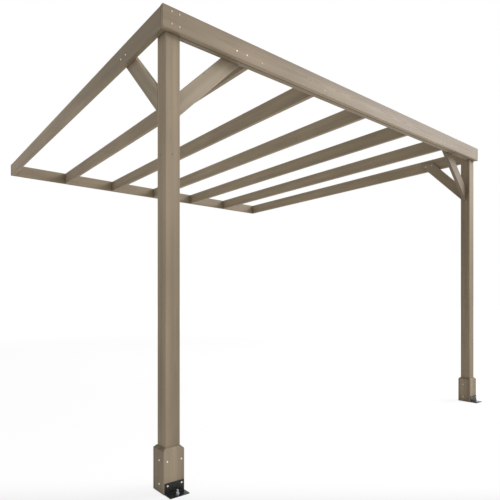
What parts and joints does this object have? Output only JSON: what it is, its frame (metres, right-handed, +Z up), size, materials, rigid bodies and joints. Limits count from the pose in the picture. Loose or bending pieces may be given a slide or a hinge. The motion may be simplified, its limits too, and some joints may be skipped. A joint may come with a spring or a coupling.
{
  "type": "wall-mounted wooden pergola",
  "caption": "Wall-mounted timber pergola: open flat roof frame of parallel rafters between a wall ledger and a doubled front beam on booted, knee-braced posts.",
  "frame": {"origin": "centre of the wall ledger's back face, where the pergola is fixed to the wall", "axes": "+Y into the wall, +Z up, +X to the right as seen from the garden"},
  "size_m": [3.65, 3.736, 2.622],
  "materials": {
    "stained_timber": "grey-brown stain, satin",
    "black_steel": "black powder coat, semi-matt"
  },
  "bodies": {
    "root": {"front_fascia": "stained_timber", "inner_beam": "stained_timber", "wall_ledger": "stained_timber", "left_rafter": "stained_timber", "rafter_1": "stained_timber", "rafter_2": "stained_timber", "rafter_3": "stained_timber", "rafter_4": "stained_timber", "rafter_5": "stained_timber", "right_rafter": "stained_timber", "left_post": "stained_timber", "right_post": "stained_timber", "left_front_brace": "stained_timber", "right_front_brace": "stained_timber", "left_side_brace": "stained_timber", "right_side_brace": "stained_timber", "left_boot_front": "stained_timber", "left_boot_back": "stained_timber", "left_boot_outer": "stained_timber", "left_boot_inner": "stained_timber", "right_boot_front": "stained_timber", "right_boot_back": "stained_timber", "right_boot_outer": "stained_timber", "right_boot_inner": "stained_timber", "left_foot_bracket": "black_steel", "right_foot_bracket": "black_steel"}
  },
  "joints": []
}
